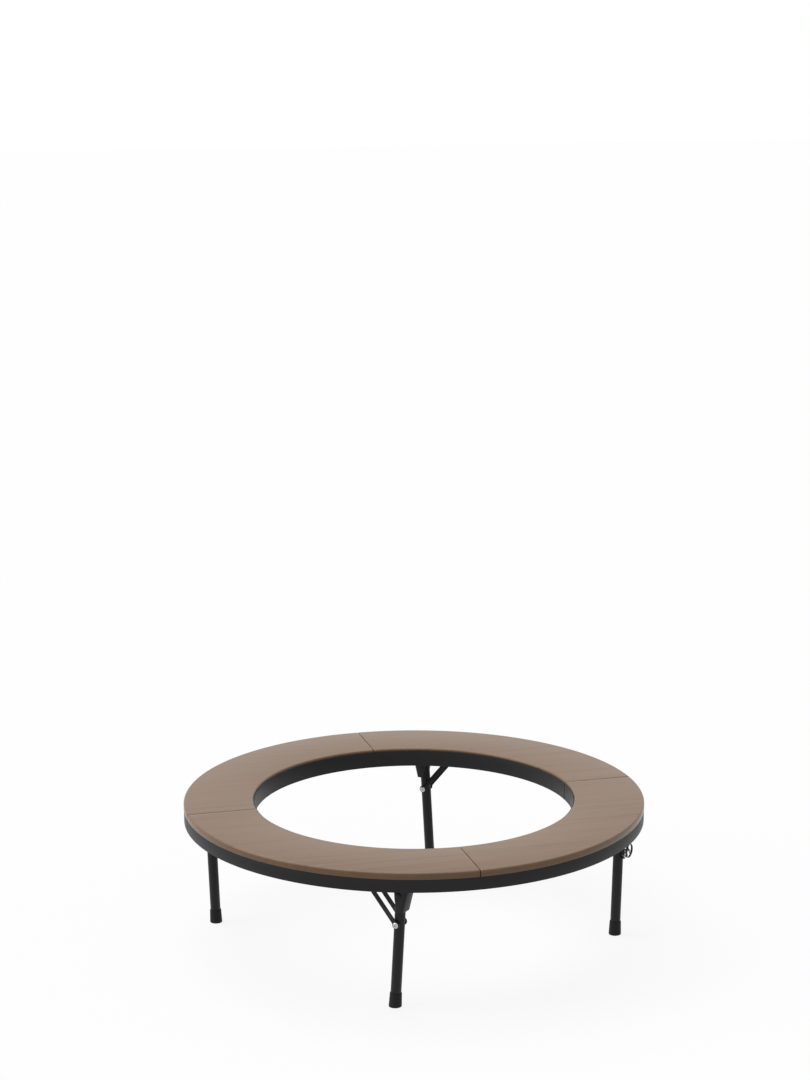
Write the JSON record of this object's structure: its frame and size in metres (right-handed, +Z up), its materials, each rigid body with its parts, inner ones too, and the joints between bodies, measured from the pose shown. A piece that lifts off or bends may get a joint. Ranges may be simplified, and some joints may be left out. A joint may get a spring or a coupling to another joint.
{
  "type": "fire pit surround table",
  "caption": "Low ring-shaped camp table in two halves, with quarter boards on steel bands and braced legs that fold under the ring.",
  "frame": {"origin": "on the ground, at the centre of the ring", "axes": "+Z up out of the table top, +X along the line where the two halves part"},
  "size_m": [1, 1, 0.305],
  "materials": {
    "wood": "semi-gloss brown stain with fine grain",
    "steel": "satin black powder coat",
    "zinc": "bright zinc plate",
    "wire": "gloss black",
    "rubber": "matt black"
  },
  "bodies": {
    "frame": {"board_1": "wood", "board_2": "wood", "board_3": "wood", "board_4": "wood", "outer_band_front": "steel", "outer_band_back": "steel", "inner_band_front": "steel", "inner_band_back": "steel", "end_angle_front_start": "steel", "end_angle_front_end": "steel", "end_angle_back_start": "steel", "end_angle_back_end": "steel", "dowel_front_1": "zinc", "dowel_front_2": "zinc", "dowel_back_1": "zinc", "dowel_back_2": "zinc", "seam_rib_front": "steel", "seam_rib_back": "steel", "leg_rail_1": "steel", "leg_rail_2": "steel", "leg_rail_3": "steel", "leg_rail_4": "steel", "leg_bracket_1": "steel", "leg_bracket_2": "steel", "leg_bracket_3": "steel", "leg_bracket_4": "steel", "brace_guide_1": "steel", "brace_guide_2": "steel", "brace_guide_3": "steel", "brace_guide_4": "steel", "pivot_rivet_1": "steel", "pivot_rivet_2": "steel", "pivot_rivet_3": "steel", "pivot_rivet_4": "steel"},
    "leg_1": {"leg_tube_1": "steel", "foot_cap_1": "rubber", "brace_bolt_1": "zinc"},
    "leg_2": {"leg_tube_2": "steel", "foot_cap_2": "rubber", "brace_bolt_2": "zinc"},
    "leg_3": {"leg_tube_3": "steel", "foot_cap_3": "rubber", "brace_bolt_3": "zinc"},
    "leg_4": {"leg_tube_4": "steel", "foot_cap_4": "rubber", "brace_bolt_4": "zinc"},
    "brace_link_1": {"brace_1": "steel"},
    "brace_link_2": {"brace_2": "steel"},
    "brace_link_3": {"brace_3": "steel"},
    "brace_link_4": {"brace_4": "steel"},
    "pin_2": {"lock_pin_2": "zinc", "pull_ring_2": "wire"},
    "pin_4": {"lock_pin_4": "zinc", "pull_ring_4": "wire"}
  },
  "joints": [
    {"name": "leg_1_fold", "type": "hinge", "parent": "frame", "child": "leg_1", "pos_m": [0.14175, 0.42379, 0.243], "axis": [-0.7071, -0.7071, 0], "range_deg": [0, 86]},
    {"name": "leg_2_fold", "type": "hinge", "parent": "frame", "child": "leg_2", "pos_m": [-0.42379, 0.14175, 0.243], "axis": [0.7071, -0.7071, 0], "range_deg": [0, 86]},
    {"name": "leg_3_fold", "type": "hinge", "parent": "frame", "child": "leg_3", "pos_m": [-0.14175, -0.42379, 0.243], "axis": [0.7071, 0.7071, 0], "range_deg": [0, 86]},
    {"name": "leg_4_fold", "type": "hinge", "parent": "frame", "child": "leg_4", "pos_m": [0.42379, -0.14175, 0.243], "axis": [-0.7071, 0.7071, 0], "range_deg": [0, 86]},
    {"name": "brace_1_swing", "type": "hinge", "parent": "leg_1", "child": "brace_link_1", "pos_m": [0.14447, 0.42107, 0.18012], "axis": [-0.7071, -0.7071, 0], "range_deg": [-119.2, 0]},
    {"name": "brace_2_swing", "type": "hinge", "parent": "leg_2", "child": "brace_link_2", "pos_m": [-0.42107, 0.14447, 0.18012], "axis": [0.7071, -0.7071, 0], "range_deg": [-119.2, 0]},
    {"name": "brace_3_swing", "type": "hinge", "parent": "leg_3", "child": "brace_link_3", "pos_m": [-0.14447, -0.42107, 0.18012], "axis": [0.7071, 0.7071, 0], "range_deg": [-119.2, 0]},
    {"name": "brace_4_swing", "type": "hinge", "parent": "leg_4", "child": "brace_link_4", "pos_m": [0.42107, -0.14447, 0.18012], "axis": [-0.7071, 0.7071, 0], "range_deg": [-119.2, 0]},
    {"name": "pin_2_pull", "type": "slide", "parent": "leg_2", "child": "pin_2", "axis": [-0.7071, 0.7071, 0], "range_m": [0, 0.012], "stiffness_N_per_m": 500, "springref_m": -0.001},
    {"name": "pin_4_pull", "type": "slide", "parent": "leg_4", "child": "pin_4", "axis": [0.7071, -0.7071, 0], "range_m": [0, 0.012], "stiffness_N_per_m": 500, "springref_m": -0.001}
  ],
  "couplings": [
    {"joint": "brace_1_swing", "follows": "leg_1_fold", "ratio": -1.3831},
    {"joint": "brace_2_swing", "follows": "leg_2_fold", "ratio": -1.3831},
    {"joint": "brace_3_swing", "follows": "leg_3_fold", "ratio": -1.3831},
    {"joint": "brace_4_swing", "follows": "leg_4_fold", "ratio": -1.3831}
  ]
}
